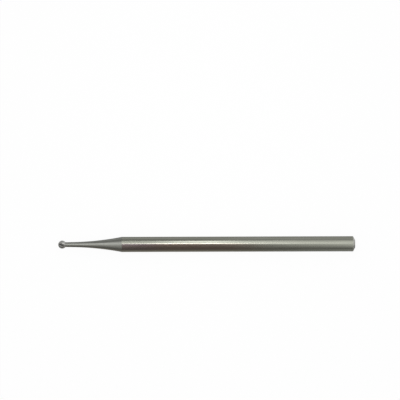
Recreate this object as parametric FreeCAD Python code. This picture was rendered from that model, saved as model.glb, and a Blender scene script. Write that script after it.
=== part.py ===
import FreeCAD, Part
import math
import os
from FreeCAD import Vector

# Ball bur for a handpiece: a fluted ball on a slim neck that flares into a straight shank.
# It is ground from one steel blank, so it is one solid. The tool lies along X with its
# head at -X, and the origin is on its axis at the shoulder, where the shank begins.
# Sizes are in millimetres and angles in degrees.

# Blank
OVERALL_LENGTH = 46.0
NOSE_LENGTH = 9.85
SHANK_DIAMETER = 2.35
BALL_DIAMETER = 1.25
NECK_DIAMETER = 0.74
NECK_LENGTH = 1.3
NECK_TAPER = 1.2
ROOT_FILLET = 0.06
END_BEVEL_LENGTH = 0.3
END_BEVEL_DEPTH = 0.6

# Flutes
FLUTE_COUNT = 6
FLUTE_WIDTH = 34.0
FLUTE_DEPTH = 0.19
HELIX_ANGLE = 24.0
FIRST_EDGE = 17.5
TIP_CAP_DIAMETER = 0.25
COLLAR_HEIGHT = 0.01

# Grinding wheel: how far its two faces reach out of the flute, and how far it runs past each end
WHEEL_RISE = 0.1
WHEEL_BACK_SHARE = 0.5
WHEEL_RUN_OUT = 0.25
WHEEL_STATIONS = 9

X_AXIS = Vector(1, 0, 0)
SHANK_RADIUS = SHANK_DIAMETER / 2
BALL_RADIUS = BALL_DIAMETER / 2
NECK_RADIUS = NECK_DIAMETER / 2
TIP = Vector(-NOSE_LENGTH, 0, 0)
SHANK_END = Vector(OVERALL_LENGTH - NOSE_LENGTH, 0, 0)
BALL_CENTRE = TIP + X_AXIS * BALL_RADIUS


def unit(vector):
    return Vector(vector).normalize()


def turned(point, angle):
    return FreeCAD.Rotation(X_AXIS, angle).multVec(point)


def on_ball(height, side):
    """Point of the ball's outline at a height above the axis, on its tip side (-1) or neck side (1)."""
    return BALL_CENTRE + Vector(side * math.sqrt(BALL_RADIUS**2 - height**2), 0, height)


def arc_about(centre, start, end):
    """Shorter arc from start to end round a centre."""
    towards_middle = unit(unit(start - centre) + unit(end - centre))
    return Part.Arc(start, centre + towards_middle * (start - centre).Length, end)


def neck_directions():
    """Direction of the tapered neck's outline away from the head, and the outward normal to it."""
    slope = math.radians(NECK_TAPER)
    return Vector(math.cos(slope), 0, math.sin(slope)), Vector(-math.sin(slope), 0, math.cos(slope))


def root_fillet():
    """Fillet that joins the ball's back to the neck's outline."""
    along, outward = neck_directions()
    corner = on_ball(NECK_RADIUS, 1)
    reach = BALL_RADIUS + ROOT_FILLET
    rise = (corner - BALL_CENTRE).dot(outward) + ROOT_FILLET
    centre = BALL_CENTRE + outward * rise + along * math.sqrt(reach**2 - rise**2)
    ball_side = BALL_CENTRE + unit(centre - BALL_CENTRE) * BALL_RADIUS
    return arc_about(centre, ball_side, centre - outward * ROOT_FILLET)


def flare():
    """Hollow flare, tangent to the neck, that meets the shank in a sharp shoulder."""
    along, outward = neck_directions()
    start = on_ball(NECK_RADIUS, 1) + along * (NECK_LENGTH / along.x)
    shoulder = Vector(0, 0, SHANK_RADIUS)
    chord = shoulder - start
    centre = start + outward * (chord.dot(chord) / (2 * chord.dot(outward)))
    return arc_about(centre, start, shoulder)


def blank():
    """Ball, neck, flare and shank, turned about the axis."""
    fillet = root_fillet()
    hollow = flare()
    bevel_start = SHANK_END + Vector(-END_BEVEL_LENGTH, 0, SHANK_RADIUS)
    bevel_end = SHANK_END + Vector(0, 0, SHANK_RADIUS - END_BEVEL_DEPTH)
    ball = Part.Arc(TIP, BALL_CENTRE + Vector(0, 0, BALL_RADIUS), fillet.StartPoint)
    outline = [
        ball,
        fillet,
        Part.LineSegment(fillet.EndPoint, hollow.StartPoint),
        hollow,
        Part.LineSegment(hollow.EndPoint, bevel_start),
        Part.LineSegment(bevel_start, bevel_end),
        Part.LineSegment(bevel_end, SHANK_END),
        Part.LineSegment(SHANK_END, TIP),
    ]
    wire = Part.Wire([curve.toShape() for curve in outline])
    return Part.Face(wire).revolve(TIP, X_AXIS, 360)


def flute_floor():
    """Path of the flute's foot: in at the tip cap, deepest under the ball's girth, out above the root fillet."""
    entry = on_ball(TIP_CAP_DIAMETER / 2, -1)
    deepest = BALL_CENTRE + Vector(0, 0, BALL_RADIUS - FLUTE_DEPTH)
    collar_top = root_fillet().StartPoint.z + COLLAR_HEIGHT
    exit_height = collar_top / math.cos(math.radians(FLUTE_WIDTH / 2))
    return Part.Arc(entry, deepest, on_ball(exit_height, 1))


def flute_turn(foot):
    """Angle about the axis at which the cutting edge stands over a foot point."""
    lead = math.tan(math.radians(HELIX_ANGLE)) * (foot.x - BALL_CENTRE.x) / BALL_RADIUS
    return FIRST_EDGE + math.degrees(lead)


def wheel_section(foot):
    """Wheel's section over a foot point: up the radial rake face, across the ball, down the sloping back."""
    outward = unit(foot - BALL_CENTRE)
    rake_top = BALL_CENTRE + outward * (BALL_RADIUS + WHEEL_RISE)
    heel = turned(BALL_CENTRE + outward * BALL_RADIUS, -FLUTE_WIDTH)
    back_top = heel + (heel - foot) * WHEEL_BACK_SHARE
    corners = [turned(corner, flute_turn(foot)) for corner in (foot, rake_top, back_top)]
    return Part.makePolygon(corners + corners[:1])


def flute_cutter():
    """Space that the wheel sweeps: along the floor, and straight on past its two ends."""
    floor = flute_floor()
    first, last = floor.FirstParameter, floor.LastParameter
    step = (last - first) / (WHEEL_STATIONS - 1)
    feet = [floor.value(first + step * station) for station in range(WHEEL_STATIONS)]
    sections = [wheel_section(foot) for foot in feet]
    sweep = Part.makeLoft(sections, True, False)
    way_in = turned(unit(Vector(*floor.tangent(first)[0])), flute_turn(feet[0])) * WHEEL_RUN_OUT
    run_in = Part.Face(sections[0]).extrude(-way_in)
    run_out = Part.Face(sections[-1]).extrude(X_AXIS * WHEEL_RUN_OUT)
    return [sweep, run_in, run_out]


def bur():
    """Blank with its flutes ground in, evenly spaced round the head."""
    wheel_passes = []
    for flute in range(FLUTE_COUNT):
        for swept in flute_cutter():
            swept.rotate(BALL_CENTRE, X_AXIS, flute * 360 / FLUTE_COUNT)
            wheel_passes.append(swept)
    return blank().cut(wheel_passes)


os.makedirs("parts", exist_ok=True)
bur().exportStep("parts/ball_bur.step")
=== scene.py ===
import math
import random
from typing import NamedTuple

import bmesh
import bpy
from bpy.props import FloatProperty, FloatVectorProperty, IntProperty, PointerProperty
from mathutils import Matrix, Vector


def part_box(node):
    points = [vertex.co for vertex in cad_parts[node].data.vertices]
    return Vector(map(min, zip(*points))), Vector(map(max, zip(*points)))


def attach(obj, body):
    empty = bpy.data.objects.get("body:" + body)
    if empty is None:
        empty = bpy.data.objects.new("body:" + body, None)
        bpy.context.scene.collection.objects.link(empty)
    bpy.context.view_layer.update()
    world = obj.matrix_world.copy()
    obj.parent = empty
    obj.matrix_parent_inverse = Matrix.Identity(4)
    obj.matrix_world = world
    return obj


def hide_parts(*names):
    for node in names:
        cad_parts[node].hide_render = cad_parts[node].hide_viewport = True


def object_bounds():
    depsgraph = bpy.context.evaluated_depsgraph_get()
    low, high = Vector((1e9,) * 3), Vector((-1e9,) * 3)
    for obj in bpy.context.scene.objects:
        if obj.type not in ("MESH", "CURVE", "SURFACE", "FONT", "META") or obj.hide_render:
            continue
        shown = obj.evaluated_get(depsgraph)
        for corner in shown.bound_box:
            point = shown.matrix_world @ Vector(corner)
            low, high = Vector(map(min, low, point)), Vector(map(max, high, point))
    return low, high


bl_info = {
    "name": "Ball bur",
    "version": (1, 0, 0),
    "blender": (4, 5, 0),
    "location": "View3D > Sidebar > Ball bur",
    "description": "Builds a ground steel ball bur with its finishes, and the studio that it is shown in",
    "category": "Object",
}

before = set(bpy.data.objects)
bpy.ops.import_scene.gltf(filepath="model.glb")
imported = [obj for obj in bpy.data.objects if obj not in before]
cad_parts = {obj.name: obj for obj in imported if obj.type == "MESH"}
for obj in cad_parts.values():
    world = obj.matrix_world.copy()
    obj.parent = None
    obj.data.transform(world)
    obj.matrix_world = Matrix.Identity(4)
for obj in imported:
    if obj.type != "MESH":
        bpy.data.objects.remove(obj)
CAD_LOW, CAD_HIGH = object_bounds()
NODE = "ball_bur"
NODE_LOW, NODE_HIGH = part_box(NODE)

MM = 0.001


def srgb(code):
    """Linear colour of an sRGB hex value."""
    shares = [int(code[digit : digit + 2], 16) / 255 for digit in (1, 3, 5)]
    return [share / 12.92 if share <= 0.04045 else ((share + 0.055) / 1.055) ** 2.4 for share in shares]


def length(name, description, default):
    return FloatProperty(
        name=name,
        description=description,
        default=default,
        min=0.0,
        precision=6,
        unit="LENGTH",
        subtype="DISTANCE",
    )


def angle(name, description, degrees):
    return FloatProperty(
        name=name, description=description, default=math.radians(degrees), unit="ROTATION", subtype="ANGLE"
    )


def factor(name, description, default):
    return FloatProperty(
        name=name, description=description, default=default, min=0.0, max=1.0, subtype="FACTOR"
    )


def swatch(name, description, code):
    return FloatVectorProperty(
        name=name, description=description, default=srgb(code), size=3, min=0.0, max=1.0, subtype="COLOR"
    )


def radiance(name, description, default):
    return FloatProperty(name=name, description=description, default=default, min=0.0)


class BallBurSizes(bpy.types.PropertyGroup):
    """Sizes of the bur, from the same named sizes as its solid."""

    overall: length("Overall length", "Tip of the head to the end of the shank", NODE_HIGH.x - NODE_LOW.x)
    nose: length("Nose length", "Tip of the head to the shoulder", -NODE_LOW.x)
    shank: length("Shank diameter", "Straight part that the handpiece holds", 2.35 * MM)
    ball: length("Ball diameter", "Head over its cutting edges", 1.25 * MM)
    neck: length("Neck diameter", "Neck where it meets the ball", 0.74 * MM)
    neck_length: length("Neck length", "Straight tapered part behind the ball", 1.3 * MM)
    neck_taper: angle("Neck taper", "Slope of the neck's side", 1.2)
    root_fillet: length("Root fillet", "Radius between ball and neck", 0.06 * MM)
    end_bevel: length("End bevel length", "Broken edge at the shank's end, along the axis", 0.3 * MM)
    end_depth: length("End bevel depth", "Broken edge at the shank's end, across the face", 0.6 * MM)
    end_round: length("End rounding", "Radius left on the end's two corners by deburring", 0.08 * MM)
    flutes: IntProperty(
        name="Flutes", description="Number of flutes round the head", default=6, min=2, max=12
    )
    flute_width: angle("Flute width", "Angle that a flute takes of the ball's girth", 34)
    flute_depth: length("Flute depth", "Deepest place, under the ball's girth", 0.19 * MM)
    helix: angle("Helix angle", "Slant of the cutting edges at the girth", 24)
    first_edge: angle("First edge", "Turn of the first cutting edge about the axis", 17.5)
    tip_cap: length("Tip cap diameter", "Round spot at the tip that the flutes leave", 0.25 * MM)
    collar: length("Collar height", "Step between a flute's end and the root fillet", 0.01 * MM)
    edge_wear: length("Edge wear", "Deepest nick in a cutting edge", 0.012 * MM)


class BallBurFinish(bpy.types.PropertyGroup):
    """Colours and gloss of the steel's differently ground parts."""

    shank_colour: swatch("Shank", "Centreless-ground steel", "#818279")
    # Painted reflection: purple-brown tints painted on the shank's near side stand in for the shaded
    # surroundings that side reflects
    purple_painted_tint: swatch("Hot temper film", "Purple-brown film where grinding ran hottest", "#7D6F73")
    brown_painted_tint: swatch("Warm temper film", "Straw-brown film further along", "#877970")
    nose_colour: swatch("Neck and flare", "Satin-ground steel", "#7C7D78")
    land_colour: swatch("Lands", "Outside of the ball between the flutes", "#A2A29E")
    flute_colour: swatch("Flutes", "Wheel-ground flutes near their heel", "#9E9E9C")
    # Flute roots: painted shade, a dark colour deep in the flutes where the hollows fall into shade
    painted_root_shade: swatch("Flute roots", "Deepest part of the flutes, where grinding dirt stays", "#484847")
    end_colour: swatch("Shank end", "Turned and deburred end", "#A0A099")
    bright_roughness: factor("Bright roughness", "Shank behind the shoulder, as it left the fine wheel", 0.18)
    shoulder_roughness: factor("Shoulder roughness", "Shank next to the shoulder", 0.22)
    dull_roughness: factor("Dull roughness", "Shank from its middle on, rubbed by the chuck", 0.25)


class BallBurStudio(bpy.types.PropertyGroup):
    """Floor and lights."""

    floor_colour: swatch("Floor", "White card that the bur lies on", "#F7F7F7")
    key_level: radiance("Key level", "Radiance of the narrow strip lamp", 7.3)
    fill_level: radiance("Fill level", "Radiance of the soft box beside it", 1.35)
    side_level: radiance("Side level", "Radiance of the soft box on the far side", 3.7)
    room_level: radiance("Room level", "Plain light from all round", 0.8)


# Range maps that rise smoothly
SMOOTH = {"interpolation_type": "SMOOTHSTEP"}
# Turn of the smeared gloss: marks that run round the bur smear light along it
ROUND, ALONG = 0.0, 0.25
# Span of the raw noise that becomes 0 to 1
NOISE_SPAN = (0.3, 0.7)
# Share of a polished metal's light that ground steel reflects at a grazing angle
GROUND_GRAZING = 0.5


class Marks(NamedTuple):
    """Marks in the steel, in millimetres along the bur, across it and deep, and their pattern's shift."""

    along: float
    across: float
    depth: float = 0.0
    shift: float = 0.0


class Uneven(NamedTuple):
    """Smear of a finish's gloss, its darkest and lightest tone, and its least and greatest roughness."""

    smear: float
    dark: float
    light: float
    smooth: float = 0.0
    rough: float = 0.0


def add(tree, kind, inputs=None, **settings):
    """Adds a node with its settings, and gives each named or numbered input a value or a link.
    Of inputs that share a name, and of the outputs of a node given as a value, the first in use is taken."""
    node = tree.nodes.new(kind)
    for name, value in settings.items():
        setattr(node, name, value)
    for name, value in (inputs or {}).items():
        if isinstance(name, int):
            socket = node.inputs[name]
        else:
            socket = next(socket for socket in node.inputs if socket.name == name and socket.enabled)
        if isinstance(value, bpy.types.Node):
            value = next(output for output in value.outputs if output.enabled)
        if isinstance(value, bpy.types.NodeSocket):
            tree.links.new(value, socket)
        elif value is not None:
            socket.default_value = value
    return node


def axes(tree):
    """The surface's place along X, Y and Z."""
    spot = add(tree, "ShaderNodeTexCoord").outputs["Object"]
    return add(tree, "ShaderNodeSeparateXYZ", {"Vector": spot}).outputs


def marks(tree, kind):
    """Noise from 0 to 1 in the size of one kind of marks."""
    spot = add(tree, "ShaderNodeTexCoord").outputs["Object"]
    cells = (1 / (kind.along * MM), 1 / (kind.across * MM), 1 / (kind.across * MM))
    scaled = {0: spot, 1: cells, 2: [kind.shift] * 3}
    scaled = add(tree, "ShaderNodeVectorMath", scaled, operation="MULTIPLY_ADD")
    noise = add(tree, "ShaderNodeTexNoise", {"Vector": scaled, "Scale": 1.0, "Detail": 2.0})
    span = {"Value": noise, "From Min": NOISE_SPAN[0], "From Max": NOISE_SPAN[1]}
    return add(tree, "ShaderNodeMapRange", span, **SMOOTH)


def shaded(rgb, brightness=1.0):
    """A colour at another brightness, with its alpha."""
    return (*[part * brightness for part in rgb], 1.0)


def steel(name, smear, turn, grazing=GROUND_GRAZING):
    """New metal material whose gloss is smeared by a share, and turned from the way round the bur."""
    material = bpy.data.materials.new(name)
    material.use_nodes = True
    shader = material.node_tree.nodes["Principled BSDF"]
    shader.inputs["Metallic"].default_value = 1.0
    shader.inputs["Anisotropic"].default_value = smear
    shader.inputs["Anisotropic Rotation"].default_value = turn
    shader.inputs["Specular Tint"].default_value = shaded((1, 1, 1), grazing)
    tangent = add(material.node_tree, "ShaderNodeTangent", direction_type="RADIAL", axis="X")
    material.node_tree.links.new(tangent.outputs[0], shader.inputs["Tangent"])
    return material


def finished(material, colour, roughness, relief):
    """Links the colour, the roughness and stacked bumps, each (noise, its kind of marks)."""
    tree = material.node_tree
    shader = tree.nodes["Principled BSDF"]
    normal = None
    for noise, kind in relief:
        bump = {"Height": noise, "Distance": kind.depth * MM, "Normal": normal}
        normal = add(tree, "ShaderNodeBump", bump)
    tree.links.new(colour.outputs["Result"], shader.inputs["Base Color"])
    tree.links.new(roughness.outputs[0], shader.inputs["Roughness"])
    tree.links.new(normal.outputs[0], shader.inputs["Normal"])
    return material


CENTRELESS = Uneven(smear=0.5, dark=0.94, light=1.06)
# Real streaks are some 0.05 mm wide, and are drawn wider so that they show
STREAKS = Marks(along=6.0, across=0.2, depth=0.0007)
FLECKS = Marks(along=1.6, across=0.12, depth=0.0002, shift=7.0)
SHANK_RINGS = Marks(along=0.25, across=4.0, depth=0.0003, shift=3.0)
# Roughness that a fleck adds
FLECK_ROUGHNESS = 0.06
# Edges of the painted reflection tint on the shank's near side: the axis across it, where it starts and where
# it is full
PAINTED_TINT_EDGES = (
    ("X", -0.4 * MM, 0.3 * MM),
    ("X", 24.0 * MM, 14.0 * MM),
    ("Y", 0.2 * MM, 0.0 * MM),
    ("Y", -1.0 * MM, -0.7 * MM),
)
# Least share of the painted tint, between the streaks
PAINTED_TINT_LEAST = 0.6
# The painted tint goes from purple to straw brown between these places along the shank
PAINTED_TINT_TURN = (2 * MM, 8 * MM)
# The shank next to the shoulder is duller, and so is its second half
SHOULDER_GLOSS = (1 * MM, 6 * MM)
CHUCK_GLOSS = (14 * MM, 25 * MM)


def centreless_ground_steel(look):
    """Hardened tool steel, centreless ground: fine marks round the shank smear every reflection along it,
    so the eye reads long even bands, a thin bright line, and streaks where the wheel left flats."""
    material = steel("centreless_ground_steel", CENTRELESS.smear, ALONG)
    tree = material.node_tree
    spot = axes(tree)
    streaks = marks(tree, STREAKS)
    flecks = marks(tree, FLECKS)
    rings = marks(tree, SHANK_RINGS)
    # Painted reflection: share of the purple-brown tint painted on the shank's near side, less between the
    # streaks
    painted_tint = add(tree, "ShaderNodeMapRange", {"Value": streaks, "To Min": PAINTED_TINT_LEAST})
    for axis, start, full in PAINTED_TINT_EDGES:
        edge = {"Value": spot[axis], "From Min": start, "From Max": full}
        edge = add(tree, "ShaderNodeMapRange", edge, **SMOOTH)
        painted_tint = add(tree, "ShaderNodeMath", {0: painted_tint, 1: edge}, operation="MULTIPLY")
    tint_turn = {"Value": spot["X"], "From Min": PAINTED_TINT_TURN[0], "From Max": PAINTED_TINT_TURN[1]}
    tint_turn = add(tree, "ShaderNodeMapRange", tint_turn, **SMOOTH)
    tint = {"Factor": tint_turn, "A": shaded(look.purple_painted_tint), "B": shaded(look.brown_painted_tint)}
    tint = add(tree, "ShaderNodeMix", tint, data_type="RGBA")
    dark, light = shaded(look.shank_colour, CENTRELESS.dark), shaded(look.shank_colour, CENTRELESS.light)
    bare = add(tree, "ShaderNodeMix", {"Factor": streaks, "A": dark, "B": light}, data_type="RGBA")
    colour = add(tree, "ShaderNodeMix", {"Factor": painted_tint, "A": bare, "B": tint}, data_type="RGBA")
    first_half = {"Value": spot["X"], "From Min": SHOULDER_GLOSS[0], "From Max": SHOULDER_GLOSS[1]}
    first_half.update({"To Min": look.shoulder_roughness, "To Max": look.bright_roughness})
    first_half = add(tree, "ShaderNodeMapRange", first_half, **SMOOTH)
    handled = {"Value": spot["X"], "From Min": CHUCK_GLOSS[0], "From Max": CHUCK_GLOSS[1]}
    handled = add(tree, "ShaderNodeMapRange", handled, **SMOOTH)
    gloss = {"Factor": handled, "A": first_half, "B": look.dull_roughness}
    gloss = add(tree, "ShaderNodeMix", gloss, data_type="FLOAT")
    roughness = {0: flecks, 1: FLECK_ROUGHNESS, 2: gloss}
    roughness = add(tree, "ShaderNodeMath", roughness, operation="MULTIPLY_ADD")
    relief = [(streaks, STREAKS), (flecks, FLECKS), (rings, SHANK_RINGS)]
    return finished(material, colour, roughness, relief)


SATIN = Uneven(smear=0.4, dark=0.96, light=1.05, smooth=0.28, rough=0.34)
# Real rings are some 0.03 mm apart, and are drawn coarser so that they show
NOSE_RINGS = Marks(along=0.12, across=3.0, depth=0.0004)
NOSE_CLOUD = Marks(along=2.5, across=0.6, depth=0.0003, shift=5.0)
# Painted shade at the bottom of a ring: its brightness, and the most of it that shows
RING_SHADE_TONE = 0.7
RING_SHADE_SHARE = 0.15


def satin_ground_steel(look):
    """Tool steel, plunge ground with a coarser form wheel: fine rings and a broad soft sheen with no
    mirror line."""
    material = steel("satin_ground_steel", SATIN.smear, ALONG)
    tree = material.node_tree
    rings = marks(tree, NOSE_RINGS)
    cloud = marks(tree, NOSE_CLOUD)
    dark, light = shaded(look.nose_colour, SATIN.dark), shaded(look.nose_colour, SATIN.light)
    tone = add(tree, "ShaderNodeMix", {"Factor": cloud, "A": dark, "B": light}, data_type="RGBA")
    # Painted shade: the bottom of each ring, low in the bump, is painted darker
    ring_shade = add(tree, "ShaderNodeMapRange", {"Value": rings, "To Min": RING_SHADE_SHARE, "To Max": 0.0})
    colour = {"Factor": ring_shade, "A": tone, "B": shaded(look.nose_colour, RING_SHADE_TONE)}
    colour = add(tree, "ShaderNodeMix", colour, data_type="RGBA")
    roughness = {"Value": rings, "To Min": SATIN.smooth, "To Max": SATIN.rough}
    roughness = add(tree, "ShaderNodeMapRange", roughness)
    return finished(material, colour, roughness, [(rings, NOSE_RINGS), (cloud, NOSE_CLOUD)])


LAND_GROUND = Uneven(smear=0.3, dark=0.85, light=1.1, smooth=0.34, rough=0.44)
LAND_SCRATCHES = Marks(along=0.03, across=0.25, depth=0.0005)


def land_ground_steel(look):
    """Hardened tool steel, ground round before fluting: light lands with a soft gleam and faint scratches."""
    material = steel("land_ground_steel", LAND_GROUND.smear, ALONG)
    tree = material.node_tree
    scratches = marks(tree, LAND_SCRATCHES)
    dark, light = shaded(look.land_colour, LAND_GROUND.dark), shaded(look.land_colour, LAND_GROUND.light)
    colour = add(tree, "ShaderNodeMix", {"Factor": scratches, "A": dark, "B": light}, data_type="RGBA")
    roughness = {"Value": scratches, "To Min": LAND_GROUND.smooth, "To Max": LAND_GROUND.rough}
    roughness = add(tree, "ShaderNodeMapRange", roughness)
    return finished(material, colour, roughness, [(scratches, LAND_SCRATCHES)])


WHEEL_CUT = Uneven(smear=0.5, dark=0.85, light=1.1, smooth=0.42, rough=0.56)
FLUTE_LINES = Marks(along=0.5, across=0.03, depth=0.001)
FLUTE_GRIME = Marks(along=0.15, across=0.15, shift=2.0)
# Distance from the ball's centre at which a flute's painted shade starts, and at which the painted shade is
# full
HEEL_RADIUS = 0.56 * MM
ROOT_RADIUS = 0.45 * MM


def flute_ground_steel(look):
    """Hardened tool steel, cut by the edge of a fluting wheel: hollows with lines that follow the wheel's
    pass, light near their heel and with painted shade that darkens them toward their root."""
    material = steel("flute_ground_steel", WHEEL_CUT.smear, ROUND)
    tree = material.node_tree
    lines = marks(tree, FLUTE_LINES)
    grime = marks(tree, FLUTE_GRIME)
    spot = add(tree, "ShaderNodeTexCoord").outputs["Object"]
    centre = (NODE_LOW.x + bpy.context.scene.ball_bur_sizes.ball / 2, 0, 0)
    from_centre = add(tree, "ShaderNodeVectorMath", {0: spot, 1: centre}, operation="DISTANCE")
    # Painted shade: the flute is painted darker the deeper it lies below the ball's surface
    root = {"Value": from_centre.outputs["Value"], "From Min": HEEL_RADIUS, "From Max": ROOT_RADIUS}
    root = add(tree, "ShaderNodeMapRange", root, **SMOOTH)
    dark, light = shaded(look.flute_colour, WHEEL_CUT.dark), shaded(look.flute_colour, WHEEL_CUT.light)
    unshaded_flute = add(tree, "ShaderNodeMix", {"Factor": grime, "A": dark, "B": light}, data_type="RGBA")
    colour = {"Factor": root, "A": unshaded_flute, "B": shaded(look.painted_root_shade)}
    colour = add(tree, "ShaderNodeMix", colour, data_type="RGBA")
    roughness = {"Value": lines, "To Min": WHEEL_CUT.smooth, "To Max": WHEEL_CUT.rough}
    roughness = add(tree, "ShaderNodeMapRange", roughness)
    return finished(material, colour, roughness, [(lines, FLUTE_LINES)])


TURNED = Uneven(smear=0.4, dark=0.9, light=1.08, smooth=0.36, rough=0.46)
END_RINGS = Marks(along=0.08, across=0.5, depth=0.0006)
# The turned end is bright at a grazing angle too
TURNED_GRAZING = 1.0


def turned_end_steel(look):
    """Tool steel, turned and deburred at the blank's end: bare bright metal with faint rings."""
    material = steel("turned_end_steel", TURNED.smear, ROUND, TURNED_GRAZING)
    tree = material.node_tree
    rings = marks(tree, END_RINGS)
    dark, light = shaded(look.end_colour, TURNED.dark), shaded(look.end_colour, TURNED.light)
    colour = add(tree, "ShaderNodeMix", {"Factor": rings, "A": dark, "B": light}, data_type="RGBA")
    roughness = {"Value": rings, "To Min": TURNED.smooth, "To Max": TURNED.rough}
    roughness = add(tree, "ShaderNodeMapRange", roughness)
    return finished(material, colour, roughness, [(rings, END_RINGS)])


FINISHES = (
    satin_ground_steel,
    centreless_ground_steel,
    land_ground_steel,
    flute_ground_steel,
    turned_end_steel,
)
NOSE, SHANK, LAND, FLUTE, END = range(len(FINISHES))

# Mesh fineness: points along a flute's back, along a land, and rows along each stretch
BACK_POINTS = 12
LAND_POINTS = 9
CAP_ROWS = 4
FLUTE_ROWS = 48
RUN_OUT_ROWS = 4
FILLET_ROWS = 8
NECK_ROWS = 12
FLARE_ROWS = 48
SHANK_ROWS = 36
ROUND_ROWS = 6
BEVEL_ROWS = 2
FACE_ROWS = 4
# Edges that turn more than this stay sharp, and points closer than this become one
SHARP_TURN = math.radians(24)
MERGE_DISTANCE = 1e-8

# Wear: nicks in each cutting edge, their depths as shares of the deepest and their widths as shares of the
# edge, and the unevenness of the lands as a share of the deepest nick
WEAR_SEED = 46
NICKS = 7
NICK_DEPTHS = (0.3, 1.0)
NICK_WIDTHS = (0.008, 0.02)
LAND_WEAR = 0.15


def circle_through(one, two, three):
    """Centre of the circle through three points of the outline, which are (along, out)."""
    a, b = two - one, three - one
    cross = 2 * (a.x * b.y - a.y * b.x)
    along = b.y * a.length_squared - a.y * b.length_squared
    out = a.x * b.length_squared - b.x * a.length_squared
    return one + Vector((along, out)) / cross


def arc(centre, start, end, rows):
    """Points from start to end round a centre, with both."""
    first = math.atan2(start.y - centre.y, start.x - centre.x)
    last = math.atan2(end.y - centre.y, end.x - centre.x)
    radius = (start - centre).length
    steps = [first + (last - first) * row / rows for row in range(rows + 1)]
    return [centre + Vector((math.cos(step), math.sin(step))) * radius for step in steps]


def straight(start, end, rows):
    """Points from start to end on a line, with both."""
    return [start.lerp(end, row / rows) for row in range(rows + 1)]


class Outline:
    """Points of the bur's outline as (along, out), measured from the ball's centre."""

    def __init__(self, size):
        self.radius = size.ball / 2
        slope = size.neck_taper
        along = Vector((math.cos(slope), math.sin(slope)))
        outward = Vector((-math.sin(slope), math.cos(slope)))
        corner = self.on_ball(size.neck / 2, 1)
        reach = self.radius + size.root_fillet
        rise = corner.dot(outward) + size.root_fillet
        self.fillet_centre = outward * rise + along * math.sqrt(reach**2 - rise**2)
        self.fillet_start = self.fillet_centre.normalized() * self.radius
        self.fillet_end = self.fillet_centre - outward * size.root_fillet
        self.flare_start = corner + along * (size.neck_length / along.x)
        self.shoulder = Vector((size.nose - self.radius, size.shank / 2))
        chord = self.shoulder - self.flare_start
        self.flare_centre = self.flare_start + outward * (chord.length_squared / (2 * chord.dot(outward)))
        self.end = size.overall - self.radius
        half_width = size.flute_width / 2
        self.collar_top = self.fillet_start.y + size.collar
        self.entry = self.on_ball(size.tip_cap / 2, -1)
        self.exit = self.on_ball(self.collar_top / math.cos(half_width), 1)
        self.floor_centre = circle_through(self.entry, Vector((0, self.radius - size.flute_depth)), self.exit)

    def on_ball(self, height, side):
        """Point of the ball at a height above the axis, on its tip side (-1) or neck side (1)."""
        return Vector((side * math.sqrt(self.radius**2 - height**2), height))


def about_axis(along, out, turn):
    """Point at a turn about the axis, from +Z toward -Y, as the solid's source turns."""
    return Vector((along, -out * math.sin(turn), out * math.cos(turn)))


def edge_turn(size, outline, along):
    """Turn at which the first cutting edge stands, at a place along the axis."""
    return size.first_edge + math.tan(size.helix) * along / outline.radius


def ring_turns(size, first):
    """Turns of a ring's points: each flute's edge and foot, its back, and the land to the next edge."""
    pitch = 2 * math.pi / size.flutes
    turns = []
    for flute in range(size.flutes):
        edge = first - flute * pitch
        turns.append(edge)
        turns += [edge - size.flute_width * point / BACK_POINTS for point in range(BACK_POINTS + 1)]
        land = pitch - size.flute_width
        turns += [edge - size.flute_width - land * point / LAND_POINTS for point in range(1, LAND_POINTS)]
    return turns


def fluted_ring(size, outline, foot):
    """Ring of the head through one point of the flutes' floor."""
    outward = foot.normalized() * outline.radius
    turns = ring_turns(size, edge_turn(size, outline, foot.x))
    points = [about_axis(outward.x, outward.y, turn) for turn in turns]
    each = len(turns) // size.flutes
    for flute in range(size.flutes):
        start = flute * each + 1
        low = about_axis(foot.x, foot.y, turns[start])
        heel = points[start + BACK_POINTS]
        for point in range(BACK_POINTS):
            points[start + point] = low.lerp(heel, point / BACK_POINTS)
    return points


def run_out_ring(size, outline, along):
    """Ring past the flutes' end, where the wheel has run straight on and left small flats."""
    turns = ring_turns(size, edge_turn(size, outline, outline.exit.x))
    ball = math.sqrt(outline.radius**2 - along**2)
    each = len(turns) // size.flutes
    points = []
    for number, turn in enumerate(turns):
        point = number % each
        out = ball
        if 1 <= point <= BACK_POINTS + 1:
            middle = turns[number - point + 1] - size.flute_width / 2
            out = min(ball, outline.collar_top / math.cos(turn - middle))
        points.append(about_axis(along, out, turn))
    return points


def plain_ring(size, outline, spot, foot):
    """Ring through one point of the outline, with its points turned as the flutes are over a foot point."""
    turns = ring_turns(size, edge_turn(size, outline, foot.x))
    return [about_axis(spot.x, spot.y, turn) for turn in turns]


def worn(rings, size, outline):
    """Nicks the cutting edges and leaves the lands slightly uneven, always inward."""
    draw = random.Random(WEAR_SEED)
    each = len(rings[0]) // size.flutes
    for flute in range(size.flutes):
        nicks = [
            (draw.random(), draw.uniform(*NICK_DEPTHS), draw.uniform(*NICK_WIDTHS)) for _ in range(NICKS)
        ]
        for row, ring in enumerate(rings):
            along = row / (len(rings) - 1)
            bite = sum(depth * math.exp(-(((along - spot) / width) ** 2)) for spot, depth, width in nicks)
            bite = min(bite, 1.0) * math.sin(math.pi * along)
            edge = flute * each
            ring[edge] *= 1 - bite * size.edge_wear / outline.radius
            for point in range(edge - LAND_POINTS + 1, edge):
                ring[point] *= 1 - draw.uniform(0.0, LAND_WEAR) * size.edge_wear / outline.radius
    return rings


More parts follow.
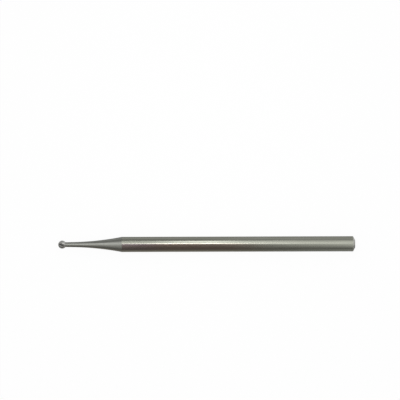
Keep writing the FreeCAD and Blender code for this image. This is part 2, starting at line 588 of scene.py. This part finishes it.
def head_rings(size, outline):
    """Rings of the ball, from its tip cap to where the wheel's last flats end."""
    rings = []
    tip_angle = math.asin(outline.entry.y / outline.radius)
    for row in range(1, CAP_ROWS):
        step = tip_angle * row / CAP_ROWS
        spot = Vector((-math.cos(step), math.sin(step))) * outline.radius
        rings.append((plain_ring(size, outline, spot, outline.entry), LAND))
    feet = arc(outline.floor_centre, outline.entry, outline.exit, FLUTE_ROWS)
    fluted = worn([fluted_ring(size, outline, foot) for foot in feet], size, outline)
    rings += [(ring, FLUTE) for ring in fluted[:-1]]
    rings.append((fluted[-1], LAND))
    flats_end = math.sqrt(outline.radius**2 - outline.collar_top**2)
    for row in range(1, RUN_OUT_ROWS + 1):
        along = outline.exit.x + (flats_end - outline.exit.x) * row / RUN_OUT_ROWS
        rings.append((run_out_ring(size, outline, along), LAND))
    return rings


def end_stretches(size, outline):
    """Outline of the shank and of its end, whose broken edge has a small round at both corners."""
    shank_radius = size.shank / 2
    bevel_start = Vector((outline.end - size.end_bevel, shank_radius))
    bevel_end = Vector((outline.end, shank_radius - size.end_depth))
    bevel = math.atan2(size.end_depth, size.end_bevel)
    first_centre = bevel_start + Vector((-size.end_round * math.tan(bevel / 2), -size.end_round))
    first_start = Vector((first_centre.x, shank_radius))
    first_end = first_centre + Vector((math.sin(bevel), math.cos(bevel))) * size.end_round
    turn = (math.pi / 2 - bevel) / 2
    last_centre = bevel_end + Vector((-size.end_round, -size.end_round * math.tan(turn)))
    last_start = last_centre + Vector((math.sin(bevel), math.cos(bevel))) * size.end_round
    last_end = Vector((outline.end, last_centre.y))
    return [
        (straight(outline.shoulder, first_start, SHANK_ROWS), SHANK),
        (arc(first_centre, first_start, first_end, ROUND_ROWS), END),
        (straight(first_end, last_start, BEVEL_ROWS), END),
        (arc(last_centre, last_start, last_end, ROUND_ROWS), END),
        (straight(last_end, Vector((outline.end, last_end.y / FACE_ROWS)), FACE_ROWS), END),
    ]


def bur_rings(size, outline):
    """All rings from tip to end as (points, finish of the band that follows)."""
    rings = head_rings(size, outline)
    stretches = [
        (arc(outline.fillet_centre, outline.fillet_start, outline.fillet_end, FILLET_ROWS), NOSE),
        (straight(outline.fillet_end, outline.flare_start, NECK_ROWS), NOSE),
        (arc(outline.flare_centre, outline.flare_start, outline.shoulder, FLARE_ROWS), NOSE),
    ]
    for spots, finish in stretches + end_stretches(size, outline):
        # A stretch starts on the last ring of the stretch before it
        if rings[-1][1] != LAND:
            rings.pop()
        rings += [(plain_ring(size, outline, spot, outline.exit), finish) for spot in spots]
    return rings


def bur_mesh(size):
    """Closed mesh of the whole bur, with a finish for each face and sharp edges where it was ground sharp."""
    outline = Outline(size)
    rings = bur_rings(size, outline)
    shift = Vector((outline.radius - size.nose, 0, 0))
    mesh = bmesh.new()
    loops = [[mesh.verts.new(point + shift) for point in points] for points, _ in rings]
    tip = mesh.verts.new(Vector((-outline.radius, 0, 0)) + shift)
    end = mesh.verts.new(Vector((outline.end, 0, 0)) + shift)
    count = len(loops[0])
    each = count // size.flutes
    for point in range(count):
        after = (point + 1) % count
        mesh.faces.new((tip, loops[0][point], loops[0][after])).material_index = LAND
        mesh.faces.new((end, loops[-1][after], loops[-1][point])).material_index = END
    for row, (near, far) in enumerate(zip(loops, loops[1:])):
        finish = rings[row][1]
        for point in range(count):
            after = (point + 1) % count
            face = mesh.faces.new((near[point], near[after], far[after], far[point]))
            in_flute = point % each <= BACK_POINTS
            face.material_index = LAND if finish == FLUTE and not in_flute else finish
    for face in mesh.faces:
        face.smooth = True
    bmesh.ops.remove_doubles(mesh, verts=mesh.verts, dist=MERGE_DISTANCE)
    bmesh.ops.dissolve_degenerate(mesh, edges=mesh.edges, dist=MERGE_DISTANCE)
    bmesh.ops.recalc_face_normals(mesh, faces=mesh.faces)
    for edge in mesh.edges:
        if len(edge.link_faces) == 2:
            kinds = {face.material_index for face in edge.link_faces}
            edge.smooth = edge.calc_face_angle(0.0) <= SHARP_TURN and kinds != {NOSE, SHANK}
    return mesh


class OBJECT_OT_ball_bur(bpy.types.Operator):
    """Builds the whole bur in place of its plain solid, in its five ground finishes"""

    bl_idname = "object.ball_bur"
    bl_label = "Build the ball bur"

    def execute(self, context):
        built = bur_mesh(context.scene.ball_bur_sizes)
        if any(not edge.is_manifold for edge in built.edges):
            raise RuntimeError("the bur's mesh isn't closed")
        mesh = bpy.data.meshes.new("ball_bur_ground")
        built.to_mesh(mesh)
        built.free()
        piece = bpy.data.objects.new("ball_bur_ground", mesh)
        context.scene.collection.objects.link(piece)
        for finish in FINISHES:
            mesh.materials.append(finish(context.scene.ball_bur_finish))
        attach(piece, "root")
        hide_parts(NODE)
        return {"FINISHED"}


# Studio sizes, in metres. Directions are turned about the bur's axis from straight up toward the far side.
LAMP_DISTANCE = 0.055
# Soft boxes: between two directions, in degrees, and between two places along the bur
KEY_STRIP = ((8.5, 17), (2.5 * MM, 20.5 * MM))
FILL_BOX = ((17, 33), (7 * MM, 17 * MM))
SIDE_BOX = ((33, 52), (7 * MM, 17 * MM))
FLOOR_REACH = 4.0
TENT_RADIUS = 0.06
TENT_REACH = 0.4
TENT_ROWS = 48
# The near side of the tent lies on the floor up to this distance from the bur's axis, just above the card
TENT_HEM = 0.0005
TENT_GAP = 0.00005
CAMERA_DISTANCE = 0.6
CAMERA_CLIP = (0.01, 20.0)
# Width of the camera's sensor, in millimetres
SENSOR = 36.0
IMAGE_PIXELS = 400
PIXELS_PER_METRE = 6453.0
# Centre of the bur's axis in the photograph, in pixels from the left and from the top, and the axis's slope
AXIS_MIDDLE = (206.65, 244.2)
AXIS_RISE = math.radians(0.17)
# Share of the card that shows plain white instead of its lit surface, so that the shadow stays faint
CARD_WHITE = 0.95

# Light of the tent's cloth as the steel sees it, by its lean from straight up toward the far side, in
# degrees: over the tip, beyond it, over the shank's first half and over its end. The near side, with
# negative leans, is in shade.
TENT_FULL = 3.0
TENT_LEANS = (-120, 90)
TENT_OVER_TIP = (
    (-120, 0.45), (-100, 0.25), (-84, 0.27), (-63, 0.46), (-41, 1.2), (-21, 2.0), (0, 3.05), (14, 3.45),
    (28, 2.6), (45, 1.0), (60, 0.62), (90, 0.7),
)
TENT_BEYOND_TIP = (
    (-120, 0.48), (-100, 0.42), (-84, 0.41), (-63, 0.5), (-41, 0.82), (-21, 0.9), (0, 1.25), (14, 1.72),
    (28, 1.7), (45, 0.92), (60, 0.52), (90, 0.52),
)
TENT_OVER_SHANK = (
    (-120, 0.9), (-103, 0.58), (-92, 0.3), (-84, 0.27), (-60, 0.26), (-34, 0.32), (-18, 0.38), (-8, 0.45),
    (3, 0.78), (12, 2.1), (26, 1.3), (41, 1.45), (50, 0.9), (66, 0.63), (82, 0.57), (90, 0.7),
)
TENT_OVER_END = (
    (-120, 0.34), (-104, 1.05), (-92, 0.46), (-78, 0.38), (-56, 0.68), (-40, 1.06), (-24, 1.38), (-10, 1.4),
    (5, 2.3), (20, 2.02), (36, 1.76), (54, 1.12), (70, 0.76), (90, 1.1),
)
# Where along the bur one of those gives way to the next: at its upper part, and from the shade line down
TENT_TIP_TO_BEYOND = (-12 * MM, -24 * MM)
TENT_TIP_TO_SHANK = (-12 * MM, -3 * MM)
TENT_SHANK_TO_END = (6 * MM, 24 * MM)
TENT_SHANK_TO_END_LOW = (21 * MM, 38 * MM)
TENT_SHADE_LINE = (math.radians(-5), math.radians(8))
# The shade is warm on the near side of the neck and of the shank's first half
TENT_WARM = "#FFF7EE"
TENT_WARM_LEAN = (math.radians(0), math.radians(-30))
TENT_WARM_END = (30 * MM, 15 * MM)
TENT_WARM_TIP = (-20 * MM, -11 * MM)


def seen_share(tree):
    """1 for rays that show the background: from the camera, off gloss and through glass."""
    rays = add(tree, "ShaderNodeLightPath").outputs
    seen = rays["Is Camera Ray"]
    for kind in ("Is Glossy Ray", "Is Transmission Ray"):
        seen = add(tree, "ShaderNodeMath", {0: seen, 1: rays[kind]}, operation="MAXIMUM")
    return seen


def white_card(look):
    """Matt white card: it shows white to the camera and in the steel, and keeps a faint shadow."""
    material = bpy.data.materials.new("matt_white_card")
    material.use_nodes = True
    tree = material.node_tree
    shader = tree.nodes["Principled BSDF"]
    shader.inputs["Base Color"].default_value = shaded(look.floor_colour)
    shader.inputs["Roughness"].default_value = 1.0
    shader.inputs["Specular IOR Level"].default_value = 0.0
    white = add(tree, "ShaderNodeEmission", {"Strength": 1.0})
    share = add(tree, "ShaderNodeMath", {0: seen_share(tree), 1: CARD_WHITE}, operation="MULTIPLY")
    mixed = add(tree, "ShaderNodeMixShader", {0: share, 1: shader.outputs[0], 2: white})
    tree.links.new(mixed.outputs[0], tree.nodes["Material Output"].inputs["Surface"])
    return material


def tent_cloth():
    """Light tent of white cloth, in shade on the near side: it gives the steel its dark lower half."""
    material = bpy.data.materials.new("light_tent_cloth")
    material.use_nodes = True
    material.cycles.emission_sampling = "NONE"
    tree = material.node_tree
    spot = axes(tree)
    lean = add(tree, "ShaderNodeMath", {0: spot["Y"], 1: spot["Z"]}, operation="ARCTAN2")
    first, last = TENT_LEANS
    span = {"Value": lean, "From Min": math.radians(first), "From Max": math.radians(last)}
    span = add(tree, "ShaderNodeMapRange", span)
    walls = []
    for wall in (TENT_OVER_TIP, TENT_BEYOND_TIP, TENT_OVER_SHANK, TENT_OVER_END):
        ramp = add(tree, "ShaderNodeValToRGB", {"Fac": span})
        stops = ramp.color_ramp.elements
        # New stops wait in the middle until the next loop places them
        while len(stops) < len(wall):
            stops.new(0.5)
        for stop, (degrees, brightness) in zip(stops, wall):
            stop.position = (degrees - first) / (last - first)
            stop.color = shaded((1, 1, 1), brightness / TENT_FULL)
        walls.append(ramp)
    shares = []
    for value, (start, full) in (
        (spot["X"], TENT_TIP_TO_BEYOND),
        (spot["X"], TENT_TIP_TO_SHANK),
        (spot["X"], TENT_SHANK_TO_END),
        (spot["X"], TENT_SHANK_TO_END_LOW),
        (lean, TENT_SHADE_LINE),
        (lean, TENT_WARM_LEAN),
        (spot["X"], TENT_WARM_END),
        (spot["X"], TENT_WARM_TIP),
    ):
        edge = {"Value": value, "From Min": start, "From Max": full}
        shares.append(add(tree, "ShaderNodeMapRange", edge, **SMOOTH))
    to_beyond, to_shank, to_end, to_end_low, above_shade, warm, *warm_ends = shares
    to_end = {"Factor": above_shade, "A": to_end_low, "B": to_end}
    to_end = add(tree, "ShaderNodeMix", to_end, data_type="FLOAT")
    light, beyond, shank, end = walls
    for share, wall in ((to_beyond, beyond), (to_shank, shank), (to_end, end)):
        light = add(tree, "ShaderNodeMix", {"Factor": share, "A": light, "B": wall}, data_type="RGBA")
    for share in warm_ends:
        warm = add(tree, "ShaderNodeMath", {0: warm, 1: share}, operation="MULTIPLY")
    tinted = {"Factor": warm, "A": light, "B": shaded(srgb(TENT_WARM))}
    light = add(tree, "ShaderNodeMix", tinted, data_type="RGBA", blend_type="MULTIPLY")
    glow = add(tree, "ShaderNodeEmission", {"Color": light, "Strength": TENT_FULL})
    tree.links.new(glow.outputs[0], tree.nodes["Material Output"].inputs["Surface"])
    return material


class SCENE_OT_ball_bur_stage(bpy.types.Operator):
    """Lays the white card, hangs the tent and lamps, and sets the camera over the bur"""

    bl_idname = "scene.ball_bur_stage"
    bl_label = "Set the stage"

    def lamp(self, context, name, box, level):
        """Hangs a soft box between its directions and places, facing the bur."""
        (first, last), (left, right) = box
        middle, width = math.radians((first + last) / 2), math.radians(last - first)
        data = bpy.data.lights.new(name, "AREA")
        data.shape = "RECTANGLE"
        data.size = right - left
        data.size_y = 2 * LAMP_DISTANCE * math.tan(width / 2)
        data.energy = level * math.pi * data.size * data.size_y
        lamp = bpy.data.objects.new(name, data)
        lamp.location = Vector((0, math.sin(middle), math.cos(middle))) * LAMP_DISTANCE
        lamp.location.x = (left + right) / 2
        lamp.rotation_euler = (-middle, 0, 0)
        lamp.visible_camera = False
        context.scene.collection.objects.link(lamp)

    def surface(self, context, name, corners, faces, material):
        """Adds a plain mesh that belongs to the stage."""
        mesh = bpy.data.meshes.new(name)
        mesh.from_pydata(corners, [], faces)
        mesh.materials.append(material)
        piece = bpy.data.objects.new(name, mesh)
        context.scene.collection.objects.link(piece)
        return piece

    def execute(self, context):
        look = context.scene.ball_bur_studio
        low = CAD_LOW.z
        reach = FLOOR_REACH
        corners = [(-reach, -reach, low), (reach, -reach, low), (reach, reach, low), (-reach, reach, low)]
        self.surface(context, "white_card_floor", corners, [(0, 1, 2, 3)], white_card(look))
        self.tent(context)
        self.lamp(context, "key_strip", KEY_STRIP, look.key_level)
        self.lamp(context, "fill_box", FILL_BOX, look.fill_level)
        self.lamp(context, "side_box", SIDE_BOX, look.side_level)
        self.room(context, look.room_level)
        self.camera(context)
        return {"FINISHED"}

    def tent(self, context):
        """Hangs the half-round tent, which the steel alone sees."""
        section = [(-TENT_HEM, CAD_LOW.z + TENT_GAP)]
        for row in range(TENT_ROWS + 1):
            lean = math.radians(-90 + 180 * row / TENT_ROWS)
            y, z = TENT_RADIUS * math.sin(lean), TENT_RADIUS * math.cos(lean)
            section.append((y, z + CAD_LOW.z + TENT_GAP))
        corners = [(end, y, z) for y, z in section for end in (-TENT_REACH, TENT_REACH)]
        faces = [(2 * row, 2 * row + 1, 2 * row + 3, 2 * row + 2) for row in range(TENT_ROWS + 1)]
        tent = self.surface(context, "light_tent_wall", corners, faces, tent_cloth())
        tent.visible_camera = False
        tent.visible_diffuse = False
        tent.visible_shadow = False
        tent.visible_transmission = False
        tent.visible_volume_scatter = False

    def room(self, context, level):
        """Plain light from all round, and white where the camera sees past the card."""
        world = bpy.data.worlds.new("plain_studio")
        context.scene.world = world
        world.use_nodes = True
        tree = world.node_tree
        background = tree.nodes["Background"]
        strength = {"Value": seen_share(tree), "To Min": level, "To Max": 1.0}
        strength = add(tree, "ShaderNodeMapRange", strength)
        background.inputs["Color"].default_value = shaded((1, 1, 1))
        tree.links.new(strength.outputs[0], background.inputs["Strength"])

    def camera(self, context):
        """Sets the camera straight above the bur, turned and shifted as the photograph is."""
        data = bpy.data.cameras.new("overhead_camera")
        frame_width = IMAGE_PIXELS / PIXELS_PER_METRE
        data.sensor_width = SENSOR
        data.lens = SENSOR * CAMERA_DISTANCE / frame_width
        data.clip_start, data.clip_end = CAMERA_CLIP
        camera = bpy.data.objects.new("overhead_camera", data)
        aside = (AXIS_MIDDLE[0] - IMAGE_PIXELS / 2) / PIXELS_PER_METRE
        below = (AXIS_MIDDLE[1] - IMAGE_PIXELS / 2) / PIXELS_PER_METRE
        middle = (CAD_LOW + CAD_HIGH) / 2
        cosine, sine = math.cos(AXIS_RISE), math.sin(AXIS_RISE)
        camera.location = (
            middle.x - (aside * cosine - below * sine),
            middle.y + (below * cosine + aside * sine),
            CAMERA_DISTANCE,
        )
        camera.rotation_euler = (0, 0, -AXIS_RISE)
        context.scene.collection.objects.link(camera)
        context.scene.camera = camera


class VIEW3D_PT_ball_bur(bpy.types.Panel):
    """Sidebar panel with the bur's sizes, finishes and stage"""

    bl_label = "Ball bur"
    bl_idname = "VIEW3D_PT_ball_bur"
    bl_space_type = "VIEW_3D"
    bl_region_type = "UI"
    bl_category = "Ball bur"

    def draw(self, context):
        scene = context.scene
        for group, operator in (
            (scene.ball_bur_sizes, None),
            (scene.ball_bur_finish, OBJECT_OT_ball_bur),
            (scene.ball_bur_studio, SCENE_OT_ball_bur_stage),
        ):
            box = self.layout.box()
            for name in group.__annotations__:
                box.prop(group, name)
            if operator:
                box.operator(operator.bl_idname)


CLASSES = (
    BallBurSizes,
    BallBurFinish,
    BallBurStudio,
    OBJECT_OT_ball_bur,
    SCENE_OT_ball_bur_stage,
    VIEW3D_PT_ball_bur,
)
GROUPS = {"ball_bur_sizes": BallBurSizes, "ball_bur_finish": BallBurFinish, "ball_bur_studio": BallBurStudio}


def register():
    for kind in CLASSES:
        bpy.utils.register_class(kind)
    for name, group in GROUPS.items():
        setattr(bpy.types.Scene, name, PointerProperty(type=group))


def unregister():
    for name in GROUPS:
        delattr(bpy.types.Scene, name)
    for kind in reversed(CLASSES):
        bpy.utils.unregister_class(kind)


def main():
    register()
    bpy.context.scene.view_settings.view_transform = "Standard"
    bpy.ops.object.ball_bur()
    bpy.ops.scene.ball_bur_stage()


if __name__ == "__main__":
    main()
